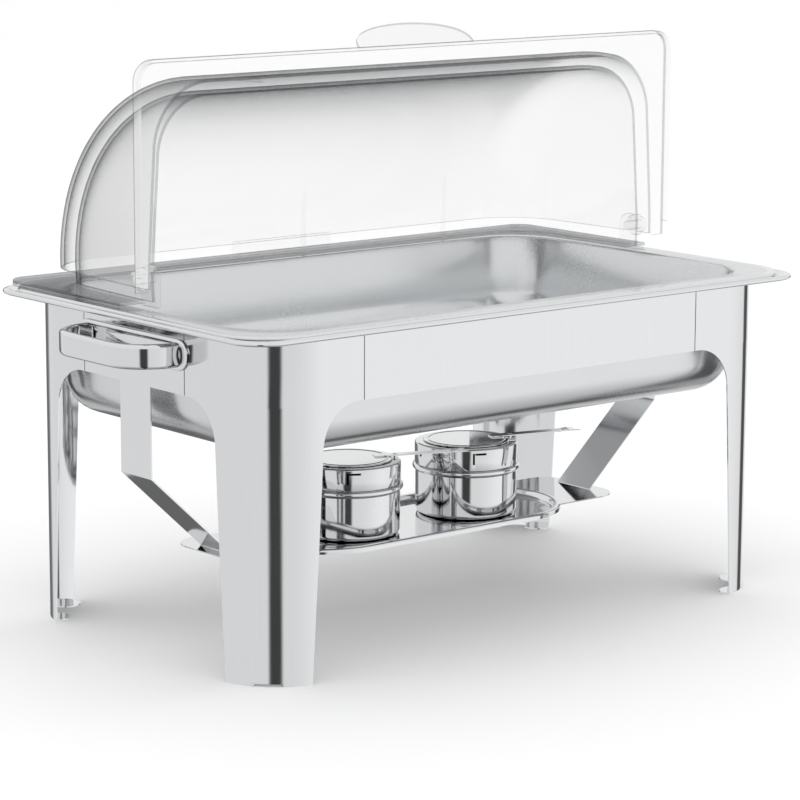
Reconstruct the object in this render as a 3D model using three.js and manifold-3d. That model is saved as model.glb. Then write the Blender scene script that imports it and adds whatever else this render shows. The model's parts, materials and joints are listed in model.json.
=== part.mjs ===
// Roll top chafer: a sheet steel stand, a water pan, a gastronorm food pan, a clear two-part dome whose
// front half rolls back over the rear half, and two gel burners on a shelf between the legs.
// Millimetres, +Z up, +X to the right along the long side, +Y to the rear. Origin: floor, centre.
// The cover stands open in this pose.

import * as THREE from 'three';
import { mergeVertices } from 'three/addons/utils/BufferGeometryUtils.js';
import Module from 'manifold-3d';

const wasm = await Module();
wasm.setup();

// ---------- driving dimensions ----------
const GAP = 0.3;                 // clearance between touching pieces
const SHEET = 1.0;               // stand and pan sheet

const FOOD_LENGTH = 530;         // gastronorm 1/1 rim
const FOOD_WIDTH = 325;
const FOOD_DEPTH = 65;
const FOOD_SHEET = 0.8;
const FOOD_CORNER = 41;          // rim corner
const FOOD_WELL_CORNER = 49;
const FOOD_BEAD = 1.8;           // radius of the rolled edge
const FOOD_FLANGE = 21;          // rim edge to well
const FOOD_TAPER = 7;            // how far the wall leans in by the floor
const FOOD_FILLET = 22;

const WATER_LIP = 3.4;           // water pan rim beyond the food pan rim
const WATER_SPACE = 26;          // water pan deeper than the food pan by this
const WATER_CORNER = 24;         // rim corner
const WATER_WELL_CORNER = 51;
const WATER_BEAD = 2.0;
const WATER_FLANGE = 20;
const WATER_TAPER = 8;
const WATER_FILLET = 30;
const STUD_RADIUS = 5;
const STUD_HEIGHT = 3;
const STUD_INSET = { x: 186, y: 74 };   // rim edge to the studs under the water pan

const STAND_HEIGHT = 248.2;
const SIDE_INSET = 15.4;         // water pan rim edge to the stand's side face
const FRONT_INSET = 12.6;        // water pan rim edge to the stand's front face
const APRON_HEIGHT = 48.7;
const LEG_CORNER = 55;           // outer radius of the bent leg
const LEG_WING = 90;             // leg face width at the top, measured from the corner
const LEG_THROAT = 54;           // leg face width just under the arch
const LEG_FOOT = 45;             // leg face width at the floor
const ARCH_RADIUS = 32.5;
const SEAM = 0.8;                // visible gap between apron and leg
const APRON_LAP = 15;            // how far the apron runs on behind the leg
const FOOT_STEP = 2;             // notch between a leg's two feet
const FOOT_TAB = 12;             // how far a foot is turned in
const FOOT_ANGLE = 33;           // degrees round the bend where the front foot ends

const BRACKET_WIDTH = 38;
const BRACKET_SHEET = 1.2;
const BRACKET_BEND_DROP = 27.5;  // water pan's floor to the bend
const BRACKET_TOP_DROP = 5;      // from the stand's top edge
const BRACKET_FOOT = 12;

const FLAME_SPACE = 37.7;        // top of a closed burner to the water pan
const TRAY_SHEET = 1.0;
const TRAY_RIM = 6;              // flat rim round the dished part
const TRAY_TAIL = 11;            // flat end beyond the bracket
const TRAY_END_WIDTH = 44;       // half width of the flat ends
const TRAY_END_CORNER = 22;
const TRAY_HEM = 4;              // rolled-down edge along the wide part
const RECESS_MARGIN = 16;        // cup to the edge of the dished part
const RECESS_TO_SLOT = 43;
const RECESS_DEPTH = 4.5;
const SLOT_INSET = 72;           // stand's side face to where the bracket passes through the shelf

const HANDLE_DROP = 20.2;        // stand's top edge to the middle of the grip
const HANDLE_BAND = 18;          // height of the grip band
const HANDLE_SHEET = 1.6;
const HANDLE_REACH = 40;         // from the stand's side face to the grip's outside
const HANDLE_SPAN = 59;          // half width of the grip over its ends
const HANDLE_CORNER = 34;
const HANDLE_LIP = 5;            // turned-in edge of the grip band
const PLATE_LAP = 4.7;           // plate runs this far past the seams it covers
const PLATE_HEIGHT = 23;
const PLATE_SHEET = 1.5;
const PLATE_RIM = { x: 16, y: 3.5 };     // flat border round the plate's shallow dish
const CLIP_SHEET = 1.2;
const CLIP_LENGTH = 9;
const CLIP_REACH = 7.2;

const DOME_SHEET = 2.6;
const DOME_INSET = { x: 4.6, y: 4 };    // food pan rim to the dome flange's edge
const DOME_CORNER = 16;
const PIVOT_RISE = 20.8;         // pivot axis above the dome's underside
const LEDGE_WIDTH = 26.5;        // flange edge to the fixed shell, front to back
const LEDGE_END = 18.9;          // flange edge to the fixed shell's end wall
const SHELL_LEAN = 6;            // how far the end wall leans in by the corner
const SHELL_CORNER = 46;
const COVER_CLEARANCE = 8.2;     // cover outside to shell outside, in radius
const COVER_SIDE_GAP = 8;        // the same at the end walls
const LAP = 6;                   // both shells run this far past the pivot plane
const BASE_FLANGE_RISE = 4.3;    // fixed flange's top above the dome's underside
const COVER_FLANGE_RISE = 7.8;   // the same for the cover's flange, which laps over it
const COVER_FLANGE = 2;
const FLANGE_SPLIT = 5;          // where the fixed flange starts, behind the pivot
const COVER_TAIL = 7.5;          // how far the cover's flange runs behind the pivot
const COVER_SKIRT_END = 4;       // where the cover's skirt stops, before the pivot
const SKIRT = 2.4;
const LUG_RADIUS = 10;
const LUG_THICKNESS = 6.5;
const BOSS_RADIUS = 8.5;
const PIN_RADIUS = 3.6;
const PIN_HEAD_RADIUS = 6;
const PIN_HEAD_HEIGHT = 2;
const GRIP_WIDTH = 112;          // finger lip on the cover
const GRIP_LENGTH = 22;
const GRIP_TILT = 48;            // degrees above the flange
const GRIP_ROOT = 1.4;           // how far the lip's root sits in from the flange edge
const TAB_WIDTH = 98;            // upright tab at the rear of the dome
const TAB_HEIGHT = 10;           // above the fixed flange
const TAB_INSET = 5;
const RIB_INSET = 95.5;          // fixed shell's end wall to the outer ribs
const RIB_RISE = 34;
const RIB_SHEET = 3;

const BURNERS = [                // side of the pair, and the way its damper handle points
  { name: 'left', side: -1, turn: -27 },
  { name: 'right', side: 1, turn: -20 },
];
const BURNER_MIDDLE = 4.5;       // middle of the pair, to the right of centre
const BURNER_SPACE = 39;         // between the two cups
const CUP_RADIUS = 40;
const CUP_HEIGHT = 37;
const CUP_SHEET = 1.0;
const CUP_BEAD = 2.4;
const COLLAR_HEIGHT = 17;
const COLLAR_PROUD = 0.6;        // collar's outside beyond the cup's
const COLLAR_RING = 8;           // width of the flat ring on top
const DAMPER_LAP = 1.4;          // damper disc over the ring's hole
const DAMPER_SHEET = 1.0;
const COLLAR_CUTS = [            // bayonet slot's two legs and the air hole; heights below the collar's top
  { angle: -102, width: 1.6, high: 3, low: 12 },
  { angle: -94, width: 9, high: 3, low: 4.6 },
  { angle: -172, width: 3.4, high: 6.6, low: 10 },
];
const RIVET_FROM_EDGE = 3.6;     // damper pivot, in from the collar's outside
const STRIP_LENGTH = 58;         // damper handle beyond the pivot
const STRIP_WIDTH = 9;
const STRIP_HOLE = 2.2;
const RIVET_RADIUS = 1.5;
const RIVET_HEAD = { radius: 3, height: 1.2 };
const RIVET_TAIL = { radius: 2, height: 1 };

// ---------- sizes that follow ----------
const waterHalf = { x: FOOD_LENGTH / 2 + WATER_LIP, y: FOOD_WIDTH / 2 + WATER_LIP };
const face = { x: waterHalf.x - SIDE_INSET, y: waterHalf.y - FRONT_INSET };
const apronBottom = STAND_HEIGHT - APRON_HEIGHT;
const plateSpan = face.y - LEG_WING + PLATE_LAP;
const waterFlange = STAND_HEIGHT + GAP;
const foodBeadBottom = waterFlange + SHEET + GAP;
const foodTop = foodBeadBottom + 2 * FOOD_BEAD;
const foodFlange = foodTop - 0.2;
const waterFloor = waterFlange + SHEET - FOOD_DEPTH - WATER_SPACE;

const domeBottom = foodTop + GAP;
const domeHalf = { x: FOOD_LENGTH / 2 - DOME_INSET.x, y: FOOD_WIDTH / 2 - DOME_INSET.y };
const pivotHeight = domeBottom + PIVOT_RISE;
const shellRadius = domeHalf.y - LEDGE_WIDTH;    // fixed shell, outside, about the pivot axis
const shellSide = domeHalf.x - LEDGE_END;        // fixed shell's end wall, outside, at the pivot
const coverRadius = shellRadius + COVER_CLEARANCE + DOME_SHEET;
const coverSide = shellSide + COVER_SIDE_GAP;

const cupTop = CUP_HEIGHT;                       // burner heights are measured from the cup's underside
const collarBottom = cupTop + CUP_BEAD + GAP;
const collarTop = collarBottom + COLLAR_HEIGHT;
const collarRadius = CUP_RADIUS + COLLAR_PROUD;
const damperBottom = collarTop + GAP;
const rivetTop = damperBottom + DAMPER_SHEET + GAP + RIVET_HEAD.height;

const recessFloor = waterFloor - FLAME_SPACE - rivetTop - GAP;
const trayTop = recessFloor + RECESS_DEPTH;
const slotX = face.x - SLOT_INSET;
const recessHalf = { x: slotX - RECESS_TO_SLOT, y: CUP_RADIUS + RECESS_MARGIN };

// ---------- geometry helpers ----------
const rad = (degrees) => degrees * Math.PI / 180;

function solid(geometry) {
  const bare = geometry.clone();
  bare.deleteAttribute('normal');
  bare.deleteAttribute('uv');
  const merged = mergeVertices(bare, 1e-4);
  const mesh = new wasm.Mesh({
    numProp: 3,
    vertProperties: new Float32Array(merged.attributes.position.array),
    triVerts: new Uint32Array(merged.index.array),
  });
  return new wasm.Manifold(mesh);
}

function toGeometry(body) {
  const mesh = body.getMesh();
  const geometry = new THREE.BufferGeometry();
  geometry.setAttribute('position', new THREE.BufferAttribute(new Float32Array(mesh.vertProperties), 3));
  geometry.setIndex(new THREE.BufferAttribute(new Uint32Array(mesh.triVerts), 1));
  geometry.computeVertexNormals();
  return geometry;
}

const join = (...bodies) => bodies.reduce((sum, body) => sum.add(body));

function box(x0, x1, y0, y1, z0, z1) {
  const geometry = new THREE.BoxGeometry(x1 - x0, y1 - y0, z1 - z0);
  geometry.translate((x0 + x1) / 2, (y0 + y1) / 2, (z0 + z1) / 2);
  return solid(geometry);
}

// upright cylinder on the Z axis
function disc(radius, z0, z1, x = 0, y = 0, segments = 32) {
  const geometry = new THREE.CylinderGeometry(radius, radius, z1 - z0, segments);
  geometry.rotateX(Math.PI / 2);
  geometry.translate(x, y, (z0 + z1) / 2);
  return solid(geometry);
}

// cylinder along X
function pinAlongX(radius, x0, x1, y = 0, z = 0, segments = 24) {
  const geometry = new THREE.CylinderGeometry(radius, radius, x1 - x0, segments);
  geometry.rotateZ(Math.PI / 2);
  geometry.translate((x0 + x1) / 2, y, z);
  return solid(geometry);
}

function arc(cx, cy, radius, from, to, steps) {
  const points = [];
  for (let i = 0; i <= steps; i += 1) {
    const angle = rad(from + (to - from) * i / steps);
    points.push([cx + radius * Math.cos(angle), cy + radius * Math.sin(angle)]);
  }
  return points;
}

function extrude(points, depth) {
  const shape = new THREE.Shape(points.map(([x, y]) => new THREE.Vector2(x, y)));
  return new THREE.ExtrudeGeometry(shape, { depth, bevelEnabled: false });
}

// plan outline (x, y) between two heights
function plan(points, z0, z1) {
  const geometry = extrude(points, z1 - z0);
  geometry.translate(0, 0, z0);
  return solid(geometry);
}

// outline in (x, z), between two depths in y
function elevation(points, y0, y1) {
  const geometry = extrude(points, y1 - y0);
  geometry.rotateX(Math.PI / 2);
  geometry.translate(0, y1, 0);
  return solid(geometry);
}

// outline in (y, z), between two places in x
function profile(points, x0, x1) {
  const geometry = extrude(points, x1 - x0);
  geometry.applyMatrix4(new THREE.Matrix4().set(0, 0, 1, x0, 1, 0, 0, 0, 0, 1, 0, 0, 0, 0, 0, 1));
  return solid(geometry);
}

// the same piece in another corner or on another side
function mirrored(geometry, sx, sy) {
  const copy = geometry.clone();
  copy.scale(sx, sy, 1);
  if (sx * sy < 0) {
    const index = copy.index.array;
    for (let i = 0; i < index.length; i += 3) {
      [index[i], index[i + 1]] = [index[i + 1], index[i]];
    }
  }
  copy.computeVertexNormals();
  return copy;
}

function roundedRectangle(hx, hy, radius, steps) {
  const r = Math.max(radius, 0.5);
  const corners = [[1, 1, 0], [-1, 1, 90], [-1, -1, 180], [1, -1, 270]];
  return corners.flatMap(([sx, sy, start]) => arc(sx * (hx - r), sy * (hy - r), r, start, start + 90, steps));
}

// corner radius at an inset u: the rim's own corner, easing to the well's, then less as the wall leans in
function panCorner(rimCorner, wellCorner, wall) {
  return (u) => {
    if (u >= wall) {
      return wellCorner - (u - wall);
    }
    return rimCorner + (wellCorner - rimCorner) * u / wall;
  };
}

// closed loft: one rounded rectangle after another, each inset from the rim by u at height z
function loft(half, corner, section, steps = 6) {
  const rings = section.map(([u, z]) => roundedRectangle(half.x - u, half.y - u, corner(u), steps)
    .map(([x, y]) => [x, y, z]));
  const count = rings[0].length;
  const positions = rings.flat(2);
  const index = [];
  for (let k = 0; k < rings.length - 1; k += 1) {
    for (let i = 0; i < count; i += 1) {
      const next = (i + 1) % count;
      const a = k * count + i;
      const b = k * count + next;
      index.push(a, b, a + count, b, b + count, a + count);
    }
  }
  const last = (rings.length - 1) * count;
  for (let i = 1; i < count - 1; i += 1) {
    index.push(0, i + 1, i);
    index.push(last, last + i, last + i + 1);
  }
  const geometry = new THREE.BufferGeometry();
  geometry.setAttribute('position', new THREE.BufferAttribute(new Float32Array(positions), 3));
  geometry.setIndex(index);
  geometry.computeVertexNormals();
  return geometry;
}

// section of a pressed pan, from the underside of its floor, round the rolled edge, to the top of its floor
function panSection({ sheet, bead, beadZ, flange, wall, taper, fillet, floor }) {
  const lean = wall + taper;
  const shoulder = 2;
  const under = [
    ...arc(lean + fillet, floor + fillet, fillet, 270, 180, 4),
    [wall, flange - shoulder - sheet],
    [wall - shoulder, flange - sheet],
    [2 * bead + 0.6, flange - sheet],
  ];
  const edge = arc(bead, beadZ, bead, 270, 90, 4);
  const inner = fillet - sheet;
  const over = [
    [2 * bead + 0.2, flange],
    [wall - shoulder + sheet, flange],
    [wall + sheet, flange - shoulder],
    ...arc(lean + fillet, floor + fillet, inner, 180, 270, 4),
  ];
  return [...under, ...edge, ...over];
}

// ---------- scene ----------
const chafer = new THREE.Group();

const finishes = {
  brushed: { color: '#cfd0d1', roughness: 0.32, metalness: 1 },
  polished: { color: '#d9dadb', roughness: 0.12, metalness: 1 },
  clear: { color: '#eef3f5', roughness: 0.05, metalness: 0, transparent: true, opacity: 0.3 },
};

function add(name, geometry, finish, parent = chafer) {
  const mesh = new THREE.Mesh(geometry, new THREE.MeshStandardMaterial(finishes[finish]));
  mesh.name = name;
  parent.add(mesh);
  return mesh;
}

// ---------- stand ----------
function makeLeg() {
  const centre = [face.x - LEG_CORNER, face.y - LEG_CORNER];
  const outline = [
    [face.x - LEG_WING, face.y],
    ...arc(...centre, LEG_CORNER, 90, 0, 14),
    [face.x, face.y - LEG_WING],
    [face.x - SHEET, face.y - LEG_WING],
    ...arc(...centre, LEG_CORNER - SHEET, 0, 90, 14),
    [face.x - LEG_WING, face.y - SHEET],
  ].reverse();
  let leg = plan(outline, 0, STAND_HEIGHT);

  const throatZ = apronBottom - ARCH_RADIUS;
  const archCentre = LEG_THROAT + ARCH_RADIUS;
  const opening = (at) => [
    [at - LEG_WING - 2, -2],
    [at - LEG_FOOT, -2],
    [at - LEG_FOOT, 0],
    ...arc(at - archCentre, throatZ, ARCH_RADIUS, 0, 90, 10),
    [at - LEG_WING - 2, apronBottom],
  ];
  leg = leg.subtract(elevation(opening(face.x), face.y - LEG_CORNER / 3, face.y + 5));
  leg = leg.subtract(profile(opening(face.y), face.x - LEG_CORNER / 3, face.x + 5));

  const reach = LEG_CORNER + 6;
  const notch = [centre, ...arc(...centre, reach, FOOT_ANGLE, 90 - FOOT_ANGLE, 2)];
  leg = leg.subtract(plan(notch, -2, FOOT_STEP));

  const edgeAngle = 90 - THREE.MathUtils.radToDeg(Math.asin(1 - LEG_FOOT / LEG_CORNER));
  for (const [from, to] of [[edgeAngle, 90 - FOOT_ANGLE], [FOOT_ANGLE, 90 - edgeAngle]]) {
    const rim = arc(...centre, LEG_CORNER - SHEET / 4, from, to, 4);
    const [a, b] = [rim[rim.length - 1], rim[0]];
    const half = [(b[0] - a[0]) / 2, (b[1] - a[1]) / 2];
    const middle = [(a[0] + b[0]) / 2, (a[1] + b[1]) / 2];
    const size = Math.hypot(...half);
    const inward = [-half[1] / size, half[0] / size];
    const tip = [];
    for (let i = 0; i <= 8; i += 1) {
      const along = -Math.cos(Math.PI * i / 8);
      const depth = FOOT_TAB * (0.35 + 0.65 * Math.sin(Math.PI * i / 8));
      tip.push([
        middle[0] + half[0] * along + inward[0] * depth,
        middle[1] + half[1] * along + inward[1] * depth,
      ]);
    }
    leg = leg.add(plan([...rim, ...tip].reverse(), 0, SHEET));
  }
  return toGeometry(leg);
}

// apron between two legs, flush with them, its ends stepped in behind the leg faces
function makeApron(halfSeam, at) {
  const end = halfSeam - SEAM;
  const behind = at - SHEET - GAP;
  const half = [
    [end, at],
    [end, behind],
    [halfSeam + APRON_LAP, behind],
    [halfSeam + APRON_LAP, behind - SHEET],
    [end - SHEET, behind - SHEET],
    [end - SHEET, at - SHEET],
  ];
  const other = half.map(([x, y]) => [-x, y]).reverse();
  return plan([...half, ...other].reverse(), apronBottom, STAND_HEIGHT);
}

const leg = makeLeg();
const sides = [['left', -1], ['right', 1]];
for (const [side, sx] of sides) {
  add(`leg_front_${side}`, mirrored(leg, sx, -1), 'brushed');
  add(`leg_rear_${side}`, mirrored(leg, sx, 1), 'brushed');
}

const longApron = toGeometry(makeApron(face.x - LEG_WING, face.y));
add('apron_front', mirrored(longApron, 1, -1), 'brushed');
add('apron_rear', longApron, 'brushed');
const shortApron = toGeometry(makeApron(face.y - LEG_WING, face.x).rotate([0, 0, -90]));
add('apron_right', shortApron, 'brushed');
add('apron_left', mirrored(shortApron, -1, 1), 'brushed');

// bracket: down behind the side apron, in on a slant, through the shelf's slot and folded under it
const bracketX = face.x - SHEET - GAP;
const bendZ = waterFloor - BRACKET_BEND_DROP;
const slope = Math.atan2(bendZ - trayTop, bracketX - slotX);
const t = BRACKET_SHEET;
const underTray = trayTop - TRAY_SHEET - GAP;
const bracketOutline = [
  [bracketX, STAND_HEIGHT - BRACKET_TOP_DROP],
  [bracketX - t, STAND_HEIGHT - BRACKET_TOP_DROP],
  [bracketX - t, bendZ + t * Math.tan(slope / 2)],
  [slotX - t, trayTop + GAP],
  [slotX - t, underTray],
  [slotX - t - BRACKET_FOOT, underTray],
  [slotX - t - BRACKET_FOOT, underTray - t],
  [slotX, underTray - t],
  [slotX, trayTop + GAP],
  [bracketX, bendZ],
];
const bracket = toGeometry(elevation(bracketOutline, -BRACKET_WIDTH / 2, BRACKET_WIDTH / 2));
add('tray_bracket_right', bracket, 'brushed');
add('tray_bracket_left', mirrored(bracket, -1, 1), 'brushed');

// ---------- fuel shelf ----------
function stadium(halfLength, halfWidth, steps = 14) {
  const centre = halfLength - halfWidth;
  return [...arc(centre, 0, halfWidth, -90, 90, steps), ...arc(-centre, 0, halfWidth, 90, 270, steps)];
}

function makeTray() {
  const around = (margin) => stadium(recessHalf.x + margin, recessHalf.y + margin);
  const low = trayTop - TRAY_SHEET;
  const ends = plan(roundedRectangle(slotX + TRAY_TAIL, TRAY_END_WIDTH, TRAY_END_CORNER, 5), low, trayTop);
  const rim = plan(around(TRAY_RIM), trayTop - TRAY_HEM, trayTop);
  const hollow = plan(around(TRAY_RIM - TRAY_SHEET), 0, low);
  const dish = plan(around(TRAY_SHEET), recessFloor - TRAY_SHEET, low + TRAY_SHEET / 2);
  const bowl = plan(around(0), recessFloor, trayTop + 5);
  let tray = join(ends, rim.subtract(hollow), dish).subtract(bowl);
  for (const sx of [-1, 1]) {
    const xs = [sx * (slotX - t - GAP), sx * (slotX + GAP)].sort((a, b) => a - b);
    tray = tray.subtract(box(...xs, -BRACKET_WIDTH / 2 - GAP, BRACKET_WIDTH / 2 + GAP, 0, trayTop + 5));
  }
  return toGeometry(tray);
}
add('fuel_tray', makeTray(), 'polished');

// ---------- carrying handles ----------
function gripPath(offset) {
  const out = HANDLE_REACH - offset;
  const span = HANDLE_SPAN - offset;
  const r = HANDLE_CORNER - offset;
  const root = PLATE_SHEET + GAP;
  return [
    [root, -span],
    ...arc(out - r, -span + r, r, -90, 0, 8),
    ...arc(out - r, span - r, r, 0, 90, 8),
    [root, span],
  ];
}

function makeGrip() {
  const outer = gripPath(0);
  const half = HANDLE_BAND / 2;
  const block = plan([...outer, ...gripPath(HANDLE_LIP).reverse()], -half, half);
  const channel = plan([...gripPath(HANDLE_SHEET), ...gripPath(HANDLE_LIP + 1).reverse()],
    -half + HANDLE_SHEET, half - HANDLE_SHEET);
  return block.subtract(channel);
}

function makePlate() {
  const r = PLATE_HEIGHT / 2 - 2;
  const outline = roundedRectangle(plateSpan, PLATE_HEIGHT / 2, r, 6);
  const slab = profile(outline, 0, PLATE_SHEET);
  const { x: borderX, y: borderY } = PLATE_RIM;
  const inner = roundedRectangle(plateSpan - borderX, PLATE_HEIGHT / 2 - borderY, r - borderY, 6);
  const dish = profile(inner, PLATE_SHEET / 2, PLATE_SHEET + 1);
  return slab.subtract(dish);
}

// folded clip that holds one end of the grip on its plate
function makeClip() {
  const depth = HANDLE_BAND - 2 * HANDLE_SHEET - 2 * GAP;
  const end = HANDLE_SPAN - HANDLE_SHEET - GAP;
  const root = PLATE_SHEET + GAP;
  const outline = [
    [root, end - CLIP_LENGTH],
    [root + CLIP_SHEET, end - CLIP_LENGTH],
    [root + CLIP_SHEET, end - CLIP_SHEET],
    [root + CLIP_REACH, end - CLIP_SHEET],
    [root + CLIP_REACH, end],
    [root, end],
  ];
  return plan(outline.reverse(), -depth / 2, depth / 2);
}

const shift = [face.x + GAP, 0, STAND_HEIGHT - HANDLE_DROP];
const grip = toGeometry(makeGrip().translate(shift));
const plate = toGeometry(makePlate().translate(shift));
const clip = toGeometry(makeClip().translate(shift));
for (const [side, sx] of sides) {
  add(`handle_plate_${side}`, mirrored(plate, sx, 1), 'polished');
  add(`handle_grip_${side}`, mirrored(grip, sx, 1), 'polished');
  add(`handle_clip_front_${side}`, mirrored(clip, sx, -1), 'polished');
  add(`handle_clip_rear_${side}`, mirrored(clip, sx, 1), 'polished');
}

// ---------- pans ----------
const waterPan = loft(waterHalf, panCorner(WATER_CORNER, WATER_WELL_CORNER, WATER_FLANGE), panSection({
  sheet: SHEET,
  bead: WATER_BEAD,
  beadZ: waterFlange + SHEET,
  flange: waterFlange + SHEET,
  wall: WATER_FLANGE,
  taper: WATER_TAPER,
  fillet: WATER_FILLET,
  floor: waterFloor,
}));
add('water_pan', waterPan, 'brushed');

for (const [side, sx] of sides) {
  for (const [end, sy] of [['front', -1], ['rear', 1]]) {
    const stud = disc(STUD_RADIUS, waterFloor - GAP - STUD_HEIGHT, waterFloor - GAP,
      sx * (waterHalf.x - STUD_INSET.x), sy * (waterHalf.y - STUD_INSET.y), 16);
    add(`pan_stud_${end}_${side}`, toGeometry(stud), 'polished');
  }
}

const foodHalf = { x: FOOD_LENGTH / 2, y: FOOD_WIDTH / 2 };
const foodPan = loft(foodHalf, panCorner(FOOD_CORNER, FOOD_WELL_CORNER, FOOD_FLANGE), panSection({
  sheet: FOOD_SHEET,
  bead: FOOD_BEAD,
  beadZ: foodBeadBottom + FOOD_BEAD,
  flange: foodFlange,
  wall: FOOD_FLANGE,
  taper: FOOD_TAPER,
  fillet: FOOD_FILLET,
  floor: foodFlange - FOOD_DEPTH,
}));
add('food_pan', foodPan, 'brushed');

// ---------- dome ----------
const DRUM_STEPS = 52;           // facets round the pivot axis

// hollow drum about the pivot axis, as a shell with rounded shoulders; axis along X through the origin
function drum(radius, side, lean, corner, sheet) {
  const half = (r, s, c) => [
    [0, s],
    [r - c, s - lean],
    ...arc(0, 0, c, 0, 90, 5).slice(1).map(([a, b]) => [r - c + b, s - lean - c + a]),
  ];
  const skin = (r, s, c) => {
    const upper = half(r, s, c);
    const points = [...upper, ...upper.map(([a, b]) => [a, -b]).reverse()];
    const lathe = new THREE.LatheGeometry(points.map(([a, b]) => new THREE.Vector2(a, -b)), DRUM_STEPS);
    lathe.rotateZ(Math.PI / 2);
    lathe.rotateX(Math.PI / DRUM_STEPS);
    return solid(lathe);
  };
  return skin(radius, side, corner).subtract(skin(radius - sheet, side - sheet, corner - sheet));
}

// stretch of the rectangular flange or of its skirt, from y0 to y1 and z0 to z1, round an opening
function flangeRing([y0, y1], [z0, z1], [innerX, innerY]) {
  const outer = roundedRectangle(domeHalf.x, domeHalf.y, DOME_CORNER, 5);
  const ring = plan(outer, z0, z1);
  const cut = plan(roundedRectangle(innerX, innerY, 6, 3), z0 - 1, z1 + 1);
  return ring.subtract(cut).intersect(box(-wide, wide, y0, y1, z0 - 2, z1 + 2));
}

const baseTop = BASE_FLANGE_RISE - PIVOT_RISE;     // heights from here on are measured from the pivot axis
const coverTop = COVER_FLANGE_RISE - PIVOT_RISE;
const wide = 2 * FOOD_LENGTH;
const ribX = shellSide - RIB_INSET;
const skirtInside = [domeHalf.x - SKIRT, domeHalf.y - SKIRT];
const span = (a, b) => [Math.min(a, b), Math.max(a, b)];

// fixed rear half, about the pivot axis
function makeBase() {
  const bottom = -PIVOT_RISE;
  const shell = drum(shellRadius, shellSide, SHELL_LEAN, SHELL_CORNER, DOME_SHEET)
    .intersect(box(-wide, wide, -LAP, wide, baseTop - SKIRT / 2, wide));
  const innerX = shellSide - DOME_SHEET;
  const innerY = Math.sqrt(shellRadius ** 2 - baseTop ** 2) - DOME_SHEET;
  const flange = flangeRing([FLANGE_SPLIT, wide], [baseTop - SKIRT, baseTop], [innerX, innerY]);
  const skirt = flangeRing([FLANGE_SPLIT, wide], [bottom, baseTop - SKIRT / 2], skirtInside);
  const parts = [shell, flange, skirt];
  for (const sx of [-1, 1]) {
    const lug = span(sx * (shellSide - LUG_THICKNESS), sx * shellSide);
    parts.push(pinAlongX(LUG_RADIUS, ...lug));
    parts.push(box(...lug, -LUG_RADIUS, LUG_RADIUS, bottom, 0));
    const ledge = span(sx * (shellSide - LUG_THICKNESS), sx * domeHalf.x);
    parts.push(box(...ledge, FLANGE_SPLIT, LUG_RADIUS + SHELL_LEAN, baseTop - SKIRT, baseTop));
  }
  const tabY = domeHalf.y - TAB_INSET;
  const tabX = TAB_WIDTH / 2;
  parts.push(box(-tabX, tabX, tabY, tabY + SKIRT, baseTop - SKIRT / 2, baseTop + TAB_HEIGHT));
  const wall = shellRadius - DOME_SHEET / 2;
  const rib = [[wall, bottom], [wall - 6, bottom], [wall - 3, RIB_RISE - 6], [wall, RIB_RISE]];
  for (const x of [-ribX, 0, ribX]) {
    parts.push(profile(rib, x - RIB_SHEET / 2, x + RIB_SHEET / 2));
  }
  const bores = [-1, 1].map((sx) => pinAlongX(PIN_RADIUS + GAP, ...span(sx * (shellSide - 20), sx * wide)));
  return toGeometry(join(...parts).subtract(bores[0]).subtract(bores[1]));
}

// moving front half, drawn closed about the pivot axis
function makeCover() {
  const under = coverTop - COVER_FLANGE;
  const shell = drum(coverRadius, coverSide, SHELL_LEAN, SHELL_CORNER + COVER_CLEARANCE / 2, DOME_SHEET)
    .intersect(box(-wide, wide, -wide, LAP, under, wide));
  const innerX = coverSide - DOME_SHEET;
  const innerY = Math.sqrt(coverRadius ** 2 - coverTop ** 2) - DOME_SHEET;
  const flange = flangeRing([-wide, COVER_TAIL], [under, coverTop], [innerX, innerY]);
  const skirt = flangeRing([-wide, -COVER_SKIRT_END], [-PIVOT_RISE, coverTop], skirtInside);
  const parts = [shell, flange, skirt];
  for (const sx of [-1, 1]) {
    parts.push(pinAlongX(BOSS_RADIUS, ...span(sx * (shellSide + 2 * GAP), sx * coverSide)));
  }
  const lip = [[GRIP_WIDTH / 2, GRIP_ROOT], [-GRIP_WIDTH / 2, GRIP_ROOT]];
  const steps = 12;
  for (let i = steps; i >= 0; i -= 1) {
    const angle = Math.PI * i / steps;
    lip.push([GRIP_WIDTH / 2 * Math.cos(angle), -GRIP_LENGTH * Math.sin(angle) ** 0.8]);
  }
  parts.push(plan(lip, -COVER_FLANGE, 0)
    .rotate([-GRIP_TILT, 0, 0])
    .translate([0, GRIP_ROOT - domeHalf.y, coverTop]));
  const wall = innerY + DOME_SHEET / 2;
  const rib = [[-wall, RIB_RISE], [-wall + 4, RIB_RISE - 8], [-wall + 5, under + 1], [-wall, under + 1]];
  for (const x of [-ribX, ribX]) {
    parts.push(profile(rib, x - RIB_SHEET / 2, x + RIB_SHEET / 2));
  }
  const bores = [-1, 1].map((sx) => pinAlongX(PIN_RADIUS + GAP, ...span(sx * (shellSide - 20), sx * wide)));
  return toGeometry(join(...parts).subtract(bores[0]).subtract(bores[1]));
}

const dome = new THREE.Group();
dome.position.z = pivotHeight;
chafer.add(dome);
add('dome_base', makeBase(), 'clear', dome);
const pinHead = coverSide + GAP;
const pin = toGeometry(join(
  pinAlongX(PIN_RADIUS, shellSide - LUG_THICKNESS - 1.5, pinHead + 0.5),
  pinAlongX(PIN_HEAD_RADIUS, pinHead, pinHead + PIN_HEAD_HEIGHT),
));
add('pivot_pin_right', pin, 'clear', dome);
add('pivot_pin_left', mirrored(pin, -1, 1), 'clear', dome);

const cover = new THREE.Group();
cover.rotation.x = rad(-90);
dome.add(cover);
add('roll_cover', makeCover(), 'clear', cover);

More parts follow.
